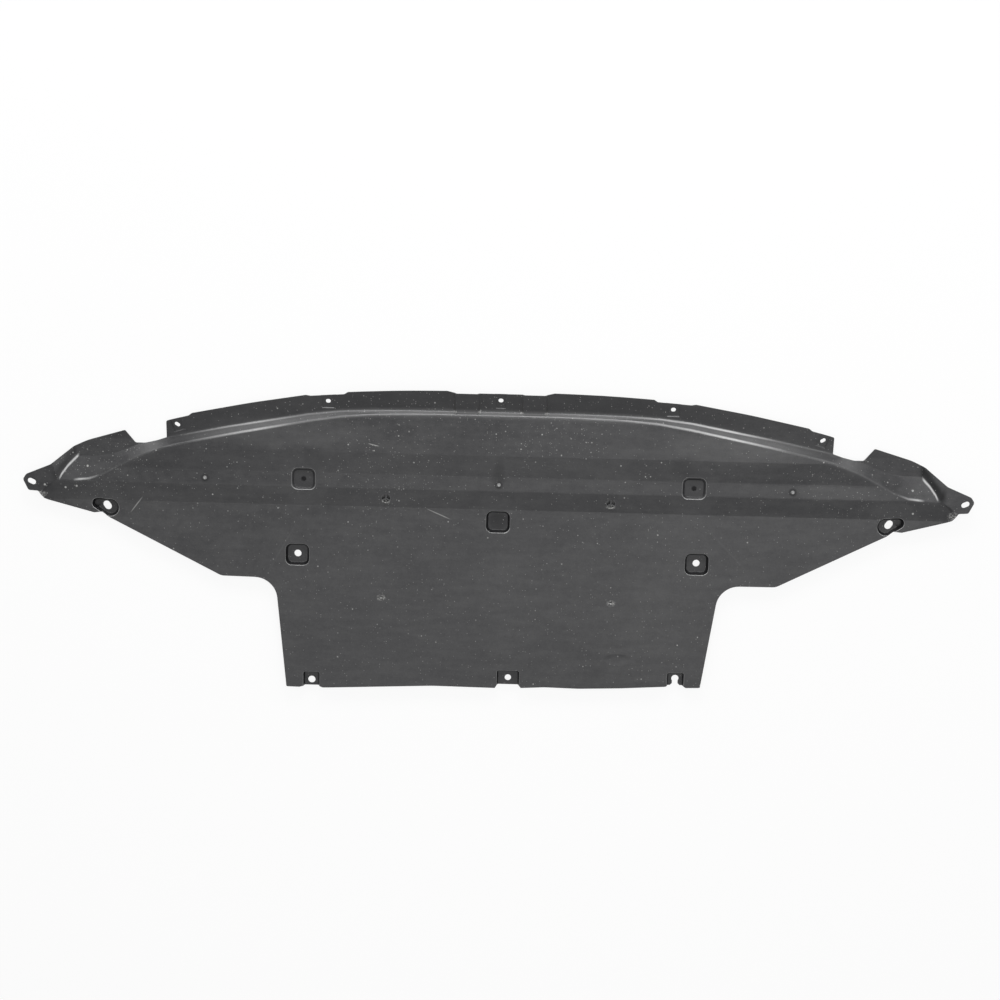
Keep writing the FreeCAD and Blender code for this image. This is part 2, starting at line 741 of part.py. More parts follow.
def drain_petals(x, y):
    """Tools for the three blind petals of one drain boss."""
    level = panel_height(y)
    disc = cylinder(x, y, DRAIN_PETAL_D, level - DRAIN_DEPTH, level + CLEAR)
    arms = []
    for turn in (0.0, 120.0, 240.0):
        arm = Part.makeBox(
            DRAIN_WEB, DRAIN_PETAL_D, TALL, Vector(-0.5 * DRAIN_WEB, 0.0, BASE))
        arm.rotate(Vector(0.0, 0.0, 0.0), Vector(0.0, 0.0, 1.0), turn)
        arm.translate(Vector(x, y, 0.0))
        arms.append(arm)
    return disc.cut(arms)


def stub(x, y, rise):
    """Short round stub on the panel, narrowing upwards from inside the sheet."""
    foot = panel_height(y) - 0.5 * SHEET
    height = 0.5 * SHEET + rise
    return Part.makeCone(0.5 * STUB_D, 0.5 * STUB_TIP_D, height, Vector(x, y, foot))


def build():
    """Finished sheet as one solid."""
    level = panel_height(DRAIN[1])
    drains = mirrored((DRAIN,))
    bottom = level - DRAIN_DEPTH
    cups = [cylinder(x, y, DRAIN_RING_D, bottom - SHEET, level) for x, y in drains]
    sheet = buck(0.0).cut(buck(SHEET).cut(cups))
    sheet = sheet.common(prism(outline(), BASE, TALL))
    added = [cylinder(x, y, DRAIN_RING_D, bottom, level + DRAIN_RISE) for x, y in drains]
    front_stubs = mirrored([(x, FRONT_STUB_Y) for x in FRONT_STUBS])
    added += [stub(x, y, FRONT_STUB_RISE) for x, y in front_stubs]
    added += [stub(x, y, REAR_STUB_RISE) for x, y in mirrored((REAR_STUB,))]
    petals = [drain_petals(x, y) for x, y in drains]
    sheet = sheet.fuse(added).cut(bolt_holes() + petals)
    return sheet.removeSplitter().Solids[0]


if __name__ == "__main__":
    os.makedirs("parts", exist_ok=True)
    build().exportStep("parts/splash_shield.step")
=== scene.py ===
"""Looks of a moulded splash shield, lying road side up on a white floor.

The shield keeps its solid from the frame. This file gives it the satin, fine-grained finish of
used moulded plastic, with painted highlights along its folds and rims and painted shade on its
walls, pocket floors and flange, and sets up the floor, the soft lights and the camera.
All lengths are in metres and lie in the frame's own axes.
"""

import logging
import math
from dataclasses import dataclass, field
from enum import Enum
from typing import Any, Dict, Mapping, Optional, Sequence, Tuple, Union

import bpy
from mathutils import Matrix, Vector


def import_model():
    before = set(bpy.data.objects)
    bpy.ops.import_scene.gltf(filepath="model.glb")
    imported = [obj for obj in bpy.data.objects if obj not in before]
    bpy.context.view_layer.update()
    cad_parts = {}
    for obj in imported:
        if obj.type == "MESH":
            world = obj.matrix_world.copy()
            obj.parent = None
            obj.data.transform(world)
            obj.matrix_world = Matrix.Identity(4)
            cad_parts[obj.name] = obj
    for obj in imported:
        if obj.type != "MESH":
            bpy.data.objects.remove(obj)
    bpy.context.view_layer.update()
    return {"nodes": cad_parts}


LOG = logging.getLogger("splash_shield")

Colour = Tuple[float, float, float]
Point = Tuple[float, float, float]
Spot = Tuple[float, float]
Band = Tuple[float, float]


class Maths(Enum):
    """Operations of a Math node that the finishes use."""

    ADD = "ADD"
    SUBTRACT = "SUBTRACT"
    MULTIPLY = "MULTIPLY"
    DIVIDE = "DIVIDE"
    HIGHER = "MAXIMUM"
    SIZE = "ABSOLUTE"


class Wire:
    """One output socket that takes part in shader sums."""

    def __init__(self, bench: "Bench", socket: Optional[bpy.types.NodeSocket]) -> None:
        """Keeps the socket and the bench that it belongs to.

        Args:
            bench: the bench whose tree holds the socket.
            socket: the output socket, or None for a node with no outputs.
        """
        self.bench = bench
        self.socket = socket

    def __add__(self, other: "Value") -> "Wire":
        """Sum of this wire and a value."""
        return self.bench.maths(Maths.ADD, self, other)

    def __radd__(self, other: "Value") -> "Wire":
        """Sum of a value and this wire."""
        return self.bench.maths(Maths.ADD, other, self)

    def __sub__(self, other: "Value") -> "Wire":
        """This wire less a value."""
        return self.bench.maths(Maths.SUBTRACT, self, other)

    def __rsub__(self, other: "Value") -> "Wire":
        """A value less this wire."""
        return self.bench.maths(Maths.SUBTRACT, other, self)

    def __mul__(self, other: "Value") -> "Wire":
        """Product of this wire and a value."""
        return self.bench.maths(Maths.MULTIPLY, self, other)

    def __rmul__(self, other: "Value") -> "Wire":
        """Product of a value and this wire."""
        return self.bench.maths(Maths.MULTIPLY, other, self)

    def __truediv__(self, other: "Value") -> "Wire":
        """This wire over a value."""
        return self.bench.maths(Maths.DIVIDE, self, other)

    def band(self, low: float, high: float) -> "Wire":
        """Smooth step of this wire from nought at low to one at high.

        Args:
            low: where the step starts; it may be above high for a falling step.
            high: where the step ends.

        Returns:
            The wire of the step, between nought and one.
        """
        falling = low > high
        start, end = (high, low) if falling else (low, high)
        step = self.bench.node(
            "ShaderNodeMapRange",
            {"interpolation_type": "SMOOTHSTEP", "clamp": True},
            {"Value": self, "From Min": start, "From Max": end},
            "Result",
        )
        return 1.0 - step if falling else step


Value = Union[Wire, float]


class Bench:
    """A node tree under construction, with one method for nodes of any type."""

    def __init__(self, tree: bpy.types.NodeTree) -> None:
        """Empties the tree and keeps it.

        Args:
            tree: the node tree to fill.
        """
        self.tree = tree
        tree.nodes.clear()

    def node(
        self,
        kind: str,
        settings: Optional[Mapping[str, Any]] = None,
        inputs: Optional[Mapping[Union[str, int], Any]] = None,
        output: Union[str, int] = 0,
    ) -> Wire:
        """Adds one node, sets it up and feeds its sockets.

        Args:
            kind: the node's type name.
            settings: the node's own settings, set before its sockets.
            inputs: values or wires by socket name or number.
            output: name or number of the socket that is handed back.

        Returns:
            The wire of the chosen output.
        """
        made = self.tree.nodes.new(kind)
        for name, value in (settings or {}).items():
            setattr(made, name, value)
        for name, value in (inputs or {}).items():
            if isinstance(value, Wire):
                self.tree.links.new(value.socket, made.inputs[name])
            else:
                made.inputs[name].default_value = value
        return Wire(self, made.outputs[output] if len(made.outputs) else None)

    def maths(self, operation: Maths, *values: Value) -> Wire:
        """Adds a Math node.

        Args:
            operation: what the node works out.
            values: its operands, wires or numbers.

        Returns:
            The wire of the result.
        """
        return self.node(
            "ShaderNodeMath", {"operation": operation.value}, dict(enumerate(values))
        )

    def blend(self, factor: Value, first: Any, second: Any) -> Wire:
        """Mixes two colours.

        Args:
            factor: nought for the first colour, one for the second.
            first: colour or wire.
            second: colour or wire.

        Returns:
            The wire of the mixed colour.
        """
        colours = {
            side: value if isinstance(value, Wire) else (*value, 1.0)
            for side, value in (("A", first), ("B", second))
        }
        return self.node(
            "ShaderNodeMix",
            {"data_type": "RGBA", "clamp_factor": True},
            {0: factor, 6: colours["A"], 7: colours["B"]},
            2,
        )

    def highest(self, *values: Value) -> Value:
        """Highest of several values.

        Args:
            values: wires or numbers, one or more.

        Returns:
            The highest of them.
        """
        top = values[0]
        for value in values[1:]:
            top = self.maths(Maths.HIGHER, top, value)
        return top

    def through(self, along: Wire, points: Sequence[Spot]) -> Value:
        """Broken line through points, level before the first and after the last.

        Args:
            along: wire of the place along the line.
            points: places and the line's values there, in order.

        Returns:
            The line's value.
        """
        value: Value = points[0][1]
        slope = 0.0
        beyond = (points[-1][0] + 1.0, points[-1][1])
        for here, ahead in zip(points, (*points[1:], beyond)):
            steeper = (ahead[1] - here[1]) / (ahead[0] - here[0])
            if steeper != slope:
                value = value + (steeper - slope) * self.highest(along - here[0], 0.0)
            slope = steeper
        return value

    def stretched(self, place: Wire, scale: Point, turn: float = 0.0) -> Wire:
        """Coordinates stretched along the axes, after a turn about Z.

        Args:
            place: wire of the coordinates.
            scale: factor along each axis.
            turn: angle of the turn in degrees.

        Returns:
            The wire of the new coordinates.
        """
        return self.node(
            "ShaderNodeMapping",
            {"vector_type": "POINT"},
            {"Vector": place, "Rotation": (0.0, 0.0, math.radians(turn)), "Scale": scale},
        )


@dataclass(frozen=True)
class SheetPoint:
    """Wires of a point of the sheet and of the way its surface faces there.

    Attributes:
        bench: the bench that the wires belong to.
        place: its coordinates.
        x: its X.
        y: its Y.
        z: its height.
        out: its distance from the middle, alike on both halves.
        forward: how far the surface leans to the front.
        upright: one where the surface is level, nought where it stands on edge.
    """

    bench: Bench
    place: Wire
    x: Wire
    y: Wire
    z: Wire
    out: Wire
    forward: Wire
    upright: Wire

    @classmethod
    def on(cls, bench: Bench) -> "SheetPoint":
        """Makes the wires of the point that is shaded.

        Args:
            bench: the bench to add nodes to.

        Returns:
            The point.
        """
        place = bench.node("ShaderNodeTexCoord", output="Object")
        facing = bench.node("ShaderNodeNewGeometry", output="Normal")
        x, y, z = (
            bench.node("ShaderNodeSeparateXYZ", None, {0: place}, axis) for axis in (0, 1, 2)
        )
        forward, upright = (
            bench.node("ShaderNodeSeparateXYZ", None, {0: facing}, axis) for axis in (1, 2)
        )
        return cls(bench, place, x, y, z, bench.maths(Maths.SIZE, x), forward, upright)


class Mark:
    """Anything that marks a part of the sheet."""

    def mask(self, at: SheetPoint) -> Wire:
        """Mask of the mark.

        Args:
            at: the point of the sheet.

        Returns:
            The wire of the mask, nought outside the mark.
        """
        raise NotImplementedError


@dataclass(frozen=True)
class StraightMark(Mark):
    """A fine straight mark: a scratch, a crease, or a painted glint at a bridge's corner.

    Attributes:
        start: X and Y of one end.
        end: X and Y of the other end.
        width: half width of the mark.
        strength: how pale it is, from nought to one.
    """

    start: Spot
    end: Spot
    width: float
    strength: float

    def mask(self, at: SheetPoint) -> Wire:
        """Mask of the scratch.

        Args:
            at: the point of the sheet.

        Returns:
            The wire of the mask.
        """
        run = (self.end[0] - self.start[0], self.end[1] - self.start[1])
        length = math.hypot(*run)
        along = (run[0] / length, run[1] / length)
        off_x = at.x - self.start[0]
        off_y = at.y - self.start[1]
        down = off_x * along[0] + off_y * along[1]
        side = off_y * along[0] - off_x * along[1]
        middle = down - 0.5 * length
        inside = (middle * middle).band((0.5 * length) ** 2, 0.0)
        return (side * side).band(self.width**2, 0.0) * inside * self.strength


@dataclass(frozen=True)
class Patch(Mark):
    """A soft oval patch on the sheet, for dusty places, crumbs, scuffs, painted light, painted
    shade or a dent.

    Attributes:
        middle: X and Y of its middle.
        reach: half lengths along X and Y.
        strength: its weight at the middle.
    """

    middle: Spot
    reach: Spot
    strength: float

    def mask(self, at: SheetPoint) -> Wire:
        """Mask of the patch.

        Args:
            at: the point of the sheet.

        Returns:
            The wire of the mask.
        """
        off_x = (at.x - self.middle[0]) / self.reach[0]
        off_y = (at.y - self.middle[1]) / self.reach[1]
        return (off_x * off_x + off_y * off_y).band(1.0, 0.0) * self.strength


@dataclass(frozen=True)
class Fold(Mark):
    """A rounded fold or a narrow slope of the sheet, with painted light along its length: a
    painted highlight on most, painted shade on the ears' walls.

    Attributes:
        course: distance from the middle and Y of points along it, alike on both halves.
        light_paint: X and strength of the painted light along it, from the left end to the right.
        width: half width of the mark.
    """

    course: Tuple[Spot, ...]
    light_paint: Tuple[Spot, ...]
    width: float

    def ahead(self, at: SheetPoint) -> Wire:
        """Distance that a point lies in front of the fold.

        Args:
            at: the point of the sheet.

        Returns:
            The wire of the distance, below nought behind the fold.
        """
        return at.y - at.bench.through(at.out, self.course)

    def mask(self, at: SheetPoint) -> Wire:
        """Mask of the marked line.

        Args:
            at: the point of the sheet.

        Returns:
            The wire of the mask.
        """
        off = at.bench.maths(Maths.SIZE, self.ahead(at))
        return off.band(self.width, 0.0) * at.bench.through(at.x, self.light_paint)


@dataclass(frozen=True)
class StubMark:
    """Pale tip of a moulding stub inside a dark ring; the tip is scuffed plastic with a painted
    highlight.

    Attributes:
        middle: X and Y of the stub.
        tip: radius of the pale tip.
        ring: outer radius of the dark ring.
    """

    middle: Spot
    tip: float = 0.0042
    ring: float = 0.0092

    def pale(self) -> Patch:
        """Patch of the pale tip."""
        return Patch(self.middle, (self.tip, self.tip), 1.0)

    def dark(self) -> Patch:
        """Patch of the dark ring, with the tip inside it."""
        return Patch(self.middle, (self.ring, self.ring), 1.0)


@dataclass(frozen=True)
class Cloud:
    """One scale of cloudy noise.

    Attributes:
        scale: clouds per metre, about.
        detail: finer layers.
        rough: strength of the finer layers.
    """

    scale: float
    detail: float
    rough: float

    def spread(self, bench: Bench, place: Wire) -> Wire:
        """Spreads the noise over a place.

        Args:
            bench: the bench to add nodes to.
            place: wire of the coordinates.

        Returns:
            The wire of the noise, about a half.
        """
        return bench.node(
            "ShaderNodeTexNoise",
            {"noise_dimensions": "3D"},
            {"Vector": place, "Scale": self.scale, "Detail": self.detail, "Roughness": self.rough},
            0,
        )


@dataclass(frozen=True)
class Specks:
    """Scattered round specks of fine grime.

    Attributes:
        scale: cells per metre.
        share: share of the cells that hold a speck.
        crowded: how much that share grows in the dusty patches.
        radius: speck radius in cells.
        strength: how pale the brightest speck is, from nought to one.
        core: share of the radius over which a speck is full.
        dimmest: the dimmest speck over the brightest.
        edge: width of the step in the share.
    """

    scale: float
    share: float
    crowded: float
    radius: float
    strength: float
    core: float = 0.35
    dimmest: float = 0.35
    edge: float = 0.02

    def mask(self, bench: Bench, place: Wire, crowd: Wire) -> Wire:
        """Mask of the specks.

        Args:
            bench: the bench to add nodes to.
            place: wire of the coordinates.
            crowd: wire of the mask of the dusty patches.

        Returns:
            The wire of the mask.
        """
        settings = {"voronoi_dimensions": "3D", "feature": "F1"}
        inputs = {"Vector": place, "Scale": self.scale, "Randomness": 1.0}
        near = bench.node("ShaderNodeTexVoronoi", settings, inputs, "Distance")
        tone = bench.node("ShaderNodeTexVoronoi", settings, inputs, "Color")
        red, green = (
            bench.node("ShaderNodeSeparateColor", {"mode": "RGB"}, {0: tone}, channel)
            for channel in (0, 1)
        )
        held = (self.share + self.crowded * crowd - red).band(0.0, self.edge)
        spot = near.band(self.radius, self.core * self.radius)
        shine = self.dimmest + (1.0 - self.dimmest) * green
        return spot * held * shine * self.strength


@dataclass(frozen=True)
class WearAndLight:
    """How far each pattern lightens the plastic, from nought to one: abrasion, random tone,
    creases, and painted light in the pale patches.

    Attributes:
        start: bleaching all over.
        clouds: the broad clouds.
        cloud_band: noise over which the clouds rise.
        streaks: the streaks across the sheet.
        streak_band: noise over which the streaks rise.
        fine: the finest noise.
        mottle: the mottling.
        pale: the pale patches, which are painted light.
        creases: the creases.
    """

    start: float = 0.10
    clouds: float = 0.2475
    cloud_band: Band = (0.30, 0.72)
    streaks: float = 0.2025
    streak_band: Band = (0.38, 0.66)
    fine: float = 0.50
    mottle: float = 0.80
    pale: float = 0.42
    creases: float = 0.60


@dataclass(frozen=True)
class Shade:
    """Where the colour is darkened, and how far: painted shade on walls, pocket floors, the flange
    and the swages' slopes, and dark rings round the stubs.
        swage: uprightness over which the swages' slopes darken.
        swage_edge: distance behind the rim's crest over which they do.
        swages: how dark those slopes are.
        sunk_edge: height under a pocket's rounded rim over which its floor darkens.
        sunk: how dark the floors are.
        rings: how dark the rings round the stubs are.
        colour: share of the darkening that the colour takes.
        rough: roughness that goes with it.
    """

    steep: Band = (0.72, 0.50)
    flange_edge: Band = (0.0, 0.006)
    flange: Tuple[Spot, ...] = (
        (-0.50, 0.50), (-0.25, 0.80), (0.0, 0.86), (0.25, 0.80), (0.50, 0.35),
    )
    swage: Band = (0.9998, 0.990)
    swage_edge: Band = (0.002, 0.008)
    swages: float = 0.50
    sunk_edge: Band = (0.0, -0.001)
    sunk: float = 0.50
    rings: float = 1.30
    colour: float = 0.60
    rough: float = 0.18


@dataclass(frozen=True)
class PaintedHighlight:
    """Where highlights are painted into the colour, and how far.

    Attributes:
        level_end: uprightness over which a rounded rim starts, from the panel's side.
        wall_end: uprightness over which it ends, on the wall's side.
        rim_edge: height over a pocket's rim level over which the painted highlight starts.
        rim: how bright a pocket's rim is all round.
        front_rim: how much brighter it is where it leans to the front.
        flange_y: Y over which the front edge of the sheet begins.
        pad: uprightness over which the edges of the flange's pads show.
        pads: how bright those edges are.
        pad_foot: Y over which they brighten towards the rim.
        pad_feet: how much they brighten there.
        folds: how bright the folds are where the fine noise is nought.
        fold_noise: how much brighter they are where it is one.
        tips: how bright the stubs' tips are: scuffed plastic with a painted highlight.
    """

    level_end: Band = (1.0, 0.93)
    wall_end: Band = (0.62, 0.80)
    rim_edge: Band = (0.0, 0.001)
    rim: float = 0.38
    front_rim: float = 1.0
    flange_y: Band = (0.226, 0.231)
    pad: Band = (0.98, 0.75)
    pads: float = 0.08
    pad_foot: Band = (0.240, 0.234)
    pad_feet: float = 0.12
    folds: float = 0.75
    fold_noise: float = 0.50
    tips: float = 0.70


# Painted highlights along the rim's crest and foot, a faint painted sheen on the slope between
# them, a painted highlight along the foot of the ears' walls, and painted shade on their face.
CREST = Fold(
    (
        (0.100, 0.2296), (0.217, 0.2265), (0.272, 0.2220), (0.326, 0.2135), (0.463, 0.1866),
        (0.5295, 0.1724), (0.568, 0.1630), (0.598, 0.1524), (0.626, 0.1410), (0.657, 0.1249),
        (0.683, 0.1101), (0.708, 0.1013), (0.7355, 0.0985),
    ),
    (
        (-0.736, 0.0), (-0.725, 0.85), (-0.690, 0.05), (-0.540, 0.05), (-0.415, 0.80),
        (-0.355, 0.25), (0.0, 0.12), (0.200, 0.25), (0.405, 1.0), (0.500, 0.10), (0.690, 0.05),
        (0.725, 0.85), (0.737, 0.0),
    ),
    0.0031,
)
FOOT = Fold(
    (
        (0.136, 0.2334), (0.2185, 0.2320), (0.2745, 0.2292), (0.3295, 0.2228), (0.467, 0.1974),
        (0.534, 0.1832), (0.5735, 0.1750), (0.606, 0.1678),
    ),
    (
        (-0.555, 0.0), (-0.425, 0.65), (-0.355, 0.25), (0.0, 0.12), (0.200, 0.25), (0.395, 1.0),
        (0.475, 0.20), (0.590, 0.0),
    ),
    0.0027,
)
SLOPE = Fold(
    (
        (0.100, 0.2315), (0.2175, 0.2293), (0.273, 0.2256), (0.328, 0.2182), (0.465, 0.1920),
        (0.532, 0.1778), (0.571, 0.1690),
    ),
    ((-0.560, 0.0), (-0.480, 0.07), (0.0, 0.09), (0.480, 0.09), (0.560, 0.0)),
    0.0110,
)
EAR_FOOT = Fold(
    (
        (0.726, 0.1420), (0.733, 0.1345), (0.738, 0.1295), (0.7453, 0.1220), (0.7503, 0.1150),
        (0.7554, 0.1080), (0.759, 0.1010),
    ),
    (
        (-0.7605, 0.0), (-0.757, 0.95), (-0.730, 0.95), (-0.726, 0.0), (0.731, 0.0),
        (0.735, 0.95), (0.757, 0.95), (0.7605, 0.0),
    ),
    0.0046,
)
# Painted shade on the face of the ears' walls.
EAR_WALL = Fold(
    (
        (0.725, 0.1545), (0.738, 0.1420), (0.7453, 0.1330), (0.7554, 0.1200), (0.765, 0.1070),
    ),
    (
        (-0.775, 0.0), (-0.766, 1.10), (-0.735, 1.10), (-0.729, 0.0), (0.726, 0.0), (0.732, 1.90),
        (0.766, 1.90), (0.775, 0.0),
    ),
    0.0190,
)

# Mask value at which the place round a pocket counts in full.
POCKET_EDGE = 0.2
# Middle and reach of the place round each pocket and each rear tab.
POCKETS: Tuple[Tuple[Spot, float], ...] = (
    ((-0.3488, -0.0262), 0.050),
    ((0.3488, -0.0262), 0.050),
    ((0.0, 0.0410), 0.050),
    ((-0.3375, 0.1095), 0.050),
    ((0.3375, 0.1095), 0.050),
    ((-0.6850, 0.0520), 0.050),
    ((0.6850, 0.0520), 0.050),
    ((-0.3242, -0.2560), 0.040),
    ((0.0246, -0.2450), 0.045),
    ((0.3216, -0.2400), 0.040),
)


@dataclass(frozen=True)
class MouldedPlastic:
    """Finish of dark satin moulded plastic with specks, scuffs, scratch marks, painted glints,
    painted highlights and painted shade.

    Attributes:
        slot: name of a material slot; not used.
        base: colour of the plastic.
        palest_colour: the palest colour, where abrasion, random tone and the painted light of the
            pale patches lift the plastic most.
        shade_colour: colour of the painted shade on steep walls, pocket floors, the flange, the
            swages' slopes, the ears' walls and patches near the pockets, and of the dark rings
            round the stubs.
        dirt_and_glint_colour: colour of the specks, crumbs, scuffs and scratch marks, and of the
            painted glints at the bridges' corners.
        highlight_colour: colour of the painted highlights on the folds, the pockets' rims, the
            pads' edges and the scuffed stub tips.
        gloss: roughness of the sheet.
        cloud_gloss: how far the broad clouds change it.
        mottle_gloss: how far the mottling changes it.
        dust_gloss: how far the specks, crumbs, scuffs, scratch marks and glints raise it.
        index: the plastic's index of refraction.
        coat: weight of the closed skin of the moulding.
        coat_rough: roughness of that skin.
        clouds: broad clouds where the plastic is abraded.
        streaks: the noise of the streaks, once stretched.
        streak_scale: how far it is stretched.
        streak_turn: its turn about Z in degrees.
        fine: the finest noise, which breaks up scuffs and the painted highlights of the folds.
        mottle: the mottling.
        grain: the moulded grain.
        grain_depth: depth of the grain.
        dent_depth: depth of the dents.
        specks: the larger specks.
        motes: the smaller specks.
        scuff_band: fine noise over which a scuff shows.
        wear_and_light: how far abrasion, random tone and painted light lighten the plastic.
        shade: where shade is painted into its colour, and the dark rings round the stubs.
        light_paint: where highlights are painted into its colour.
        scratches_and_glints: single scratch marks, and painted glints at the corners of the
            bridges.
        creases: long faint marks where the sheet was bent.
        dusty: patches where specks lie close together.
        flecks: single coarse crumbs of grit.
        scuffed: patches where the surface is scuffed pale.
        pale: broad patches of painted light, a little paler.
        painted_shade_patches: patches of painted shade in front of the upper pockets and round the
            middle stub, in the upper pockets' dimples and on the middle pocket's floor.
        ear_wall: painted shade on the outer walls of the ears.
        dents: patches where the sheet is pressed in.
        folds: the folds that carry painted highlights.
        rim_level: Y and the height over which a pocket's rounded rim lies.
        shallow: the shallow pockets, whose walls catch more light.
        stubs: the marks of the moulding stubs.
    """

    slot: str = "moulded_plastic"
    base: Colour = (0.016, 0.016, 0.018)
    # Palest colour, where abrasion and painted light lift the plastic most.
    palest_colour: Colour = (0.060, 0.060, 0.061)
    # Colour of the painted shade.
    shade_colour: Colour = (0.004, 0.004, 0.005)
    # Colour of the specks and scratch marks, and of the painted glints.
    dirt_and_glint_colour: Colour = (0.36, 0.36, 0.35)
    # Colour of the painted highlights.
    highlight_colour: Colour = (0.50, 0.50, 0.50)
    gloss: float = 0.38
    cloud_gloss: float = 0.18
    mottle_gloss: float = 0.25
    dust_gloss: float = 0.30
    index: float = 1.49
    coat: float = 0.25
    coat_rough: float = 0.24
    clouds: Cloud = Cloud(5.0, 3.0, 0.55)
    streaks: Cloud = Cloud(1.0, 4.0, 0.60)
    streak_scale: Point = (14.0, 60.0, 60.0)
    streak_turn: float = 8.0
    fine: Cloud = Cloud(420.0, 2.0, 0.60)
    mottle: Cloud = Cloud(70.0, 4.0, 0.65)
    grain: Cloud = Cloud(900.0, 2.0, 0.55)
    grain_depth: float = 0.00012
    dent_depth: float = 0.0009
    specks: Specks = Specks(115.0, 0.08, 0.26, 0.20, 0.95)
    motes: Specks = Specks(260.0, 0.20, 0.50, 0.24, 0.70)
    scuff_band: Band = (0.40, 0.62)
    wear_and_light: WearAndLight = WearAndLight()
    shade: Shade = Shade()
    light_paint: PaintedHighlight = PaintedHighlight()
    # The last four marks are painted glints at the bridges' corners.
    scratches_and_glints: Tuple[StraightMark, ...] = (
        StraightMark((-0.2266, 0.1760), (-0.2059, 0.1713), 0.0011, 0.75),
        StraightMark((-0.1271, 0.0629), (-0.0799, 0.0427), 0.0011, 0.55),
        StraightMark((-0.6395, 0.0406), (-0.6154, 0.0724), 0.0012, 0.50),
        StraightMark((-0.0815, 0.2345), (-0.0745, 0.2345), 0.0022, 0.80),
        StraightMark((-0.0400, 0.2345), (-0.0330, 0.2345), 0.0022, 0.80),
        StraightMark((0.0330, 0.2345), (0.0400, 0.2345), 0.0022, 0.80),
        StraightMark((0.0745, 0.2345), (0.0815, 0.2345), 0.0022, 0.80),
    )
    creases: Tuple[StraightMark, ...] = (
        StraightMark((-0.3423, 0.0448), (-0.4055, -0.0686), 0.0022, 0.30),
        StraightMark((0.3598, 0.0418), (0.4466, -0.0461), 0.0022, 0.30),
    )
    dusty: Tuple[Patch, ...] = (
        Patch((-0.690, 0.130), (0.115, 0.080), 1.0),
        Patch((-0.190, 0.140), (0.110, 0.120), 0.8),
        Patch((0.075, 0.190), (0.150, 0.060), 0.9),
        Patch((0.000, 0.235), (0.520, 0.030), 0.5),
        Patch((0.640, 0.110), (0.160, 0.070), 0.5),
    )
    flecks: Tuple[Patch, ...] = (
        Patch((-0.7495, 0.0843), (0.0024, 0.0024), 1.0),
        Patch((-0.7849, 0.0886), (0.0024, 0.0024), 1.0),
        Patch((-0.7116, 0.1220), (0.0024, 0.0024), 1.0),
        Patch((-0.7302, 0.0873), (0.0024, 0.0024), 1.0),
        Patch((0.7182, 0.0750), (0.0024, 0.0024), 1.0),
        Patch((0.7155, 0.1154), (0.0024, 0.0024), 1.0),
    )
    scuffed: Tuple[Patch, ...] = (
        Patch((-0.2016, -0.101), (0.010, 0.007), 0.8),
        Patch((0.2016, -0.101), (0.010, 0.007), 0.8),
        Patch((-0.7925, 0.0700), (0.011, 0.010), 0.9),
        Patch((0.7885, 0.0715), (0.012, 0.010), 0.7),
        Patch((-0.1947, 0.0730), (0.010, 0.0045), 0.8),
        Patch((0.1947, 0.0730), (0.010, 0.0045), 0.8),
    )
    # Broad patches of painted light.
    pale: Tuple[Patch, ...] = (
        Patch((-0.3777, 0.190), (0.200, 0.034), 0.90),
        Patch((0.4121, 0.180), (0.190, 0.034), 1.10),
        Patch((0.5800, 0.1090), (0.085, 0.022), 0.90),
        Patch((-0.6026, 0.1047), (0.110, 0.026), 0.45),
        Patch((-0.3300, -0.0500), (0.200, 0.110), 0.25),
        Patch((0.4500, 0.0300), (0.230, 0.080), 0.30),
        Patch((0.4600, -0.1500), (0.360, 0.180), 0.45),
        Patch((-0.6500, 0.0350), (0.170, 0.100), 0.60),
        Patch((0.6400, 0.0350), (0.170, 0.100), 0.35),
    )
    # Patches of painted shade.
    painted_shade_patches: Tuple[Patch, ...] = (
        Patch((-0.3176, 0.1438), (0.034, 0.030), 0.55),
        Patch((0.3163, 0.1427), (0.034, 0.030), 0.55),
        Patch((-0.0003, 0.1292), (0.016, 0.034), 0.60),
        Patch((-0.3375, 0.1095), (0.0066, 0.0066), 1.7),
        Patch((0.3375, 0.1095), (0.0066, 0.0066), 1.7),
        Patch((0.0, 0.0410), (0.026, 0.026), 0.9),
    )
    ear_wall: Fold = EAR_WALL
    dents: Tuple[Patch, ...] = (Patch((0.2168, -0.2045), (0.026, 0.012), 1.0),)
    folds: Tuple[Fold, ...] = (CREST, FOOT, SLOPE, EAR_FOOT)
    rim_level: Tuple[Spot, ...] = ((0.075, 0.0130), (0.090, 0.0170))
    shallow: Tuple[Patch, ...] = (
        Patch((-0.3375, 0.1095), (0.060, 0.060), 0.7),
        Patch((0.3375, 0.1095), (0.060, 0.060), 0.7),
    )
    # Each pale tip is scuffed plastic with a painted highlight.
    stubs: Tuple[StubMark, ...] = (
        StubMark((0.0, 0.108)),
        StubMark((-0.5077, 0.108)),
        StubMark((0.5077, 0.108)),
        StubMark((-0.2016, -0.101), 0.0020, 0.0050),
        StubMark((0.2016, -0.101), 0.0020, 0.0050),
    )

    def gathered(self, at: SheetPoint, marks: Sequence[Mark]) -> Wire:
        """Highest of the masks of several marks.

        Args:
            at: the point of the sheet.
            marks: the marks.

        Returns:
            The wire of the joint mask.
        """
        return at.bench.highest(*(mark.mask(at) for mark in marks))

    def dirt_and_glints(self, at: SheetPoint, fine: Wire) -> Wire:
        """Mask of the specks, the crumbs, the scuffs and the scratch marks, and of the painted
        glints at the bridges' corners.

        Args:
            at: the point of the sheet.
            fine: wire of the fine noise.

        Returns:
            The wire of the mask.
        """
        crowd = self.gathered(at, self.dusty)
        return at.bench.highest(
            self.specks.mask(at.bench, at.place, crowd),
            self.motes.mask(at.bench, at.place, crowd),
            self.gathered(at, self.scratches_and_glints),
            self.gathered(at, self.scuffed) * fine.band(*self.scuff_band),
            self.gathered(at, self.flecks),
        )

